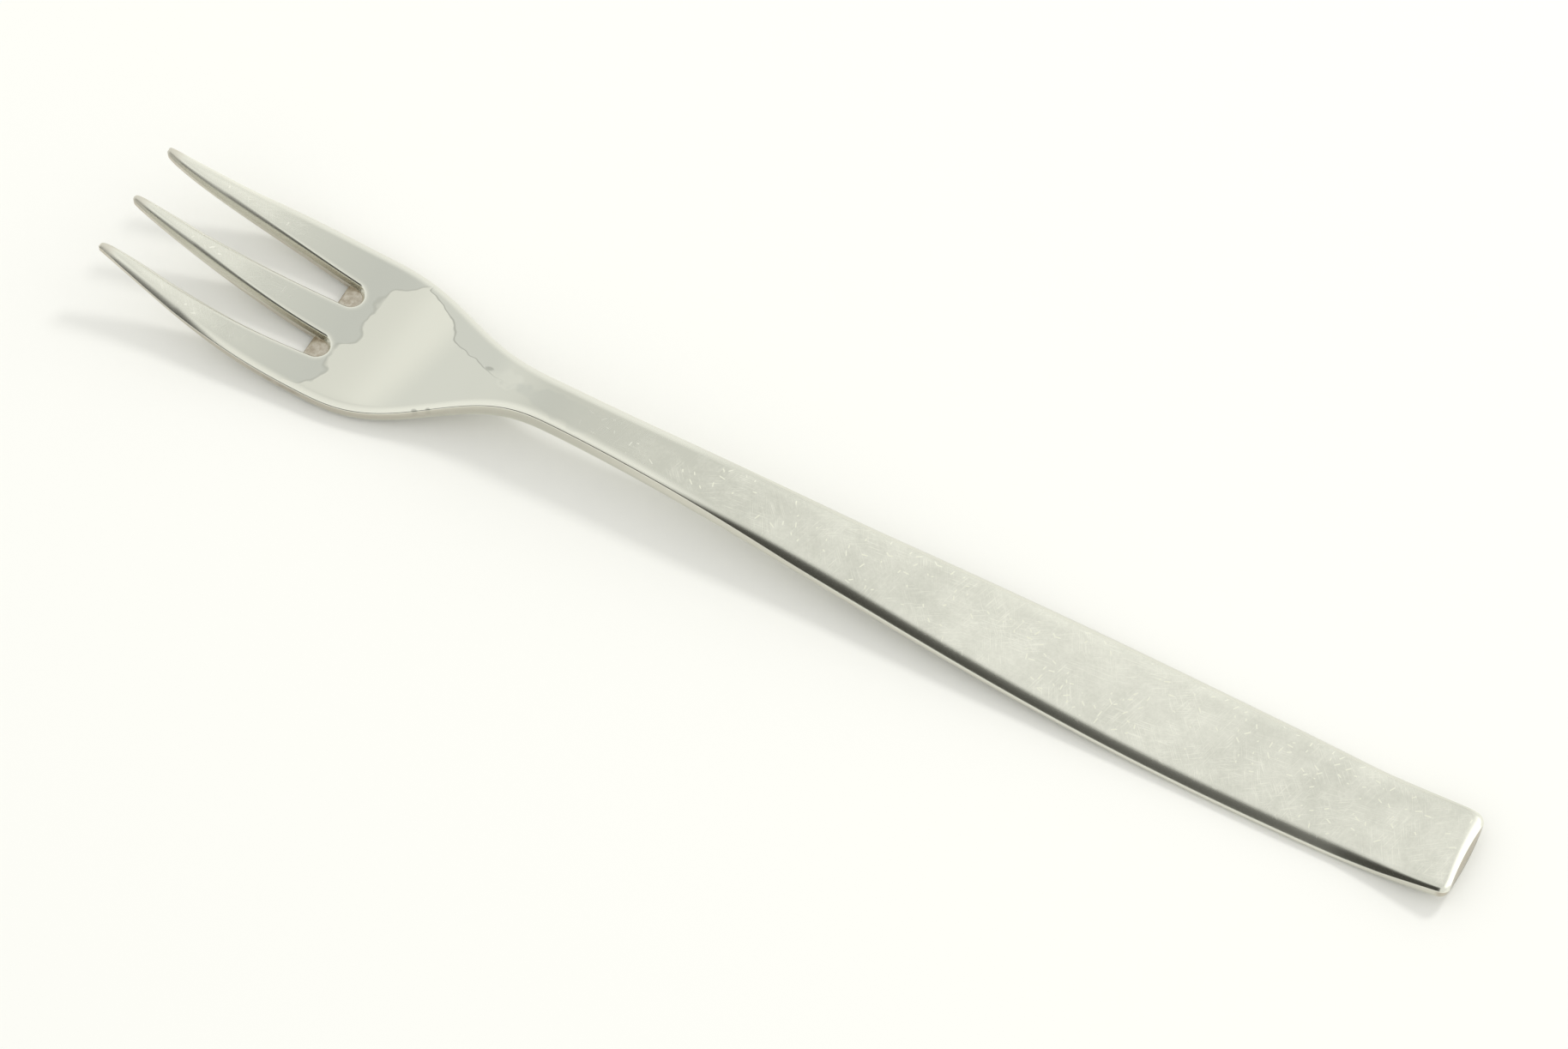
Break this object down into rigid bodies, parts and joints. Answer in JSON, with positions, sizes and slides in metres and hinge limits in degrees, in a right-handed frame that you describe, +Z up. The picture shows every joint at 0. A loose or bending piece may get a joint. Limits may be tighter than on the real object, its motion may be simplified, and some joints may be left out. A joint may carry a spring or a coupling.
{
  "type": "dessert fork",
  "caption": "Slim stainless steel dessert fork with a flat tapering handle, a narrow neck and a shallow bowl that opens into long pointed tines.",
  "frame": {"origin": "on the table under the middle of the fork's length, on its plane of symmetry", "axes": "+X along the fork from the end of the handle to the tips of the tines, +Z up from the table, the fork lying face up"},
  "size_m": [0.1706, 0.0208, 0.0091],
  "materials": {
    "steel": "satin on the handle's face, polished on the neck, bowl, tines and edges, with fine wear scratches"
  },
  "bodies": {
    "root": {"fork": "steel"}
  },
  "joints": []
}
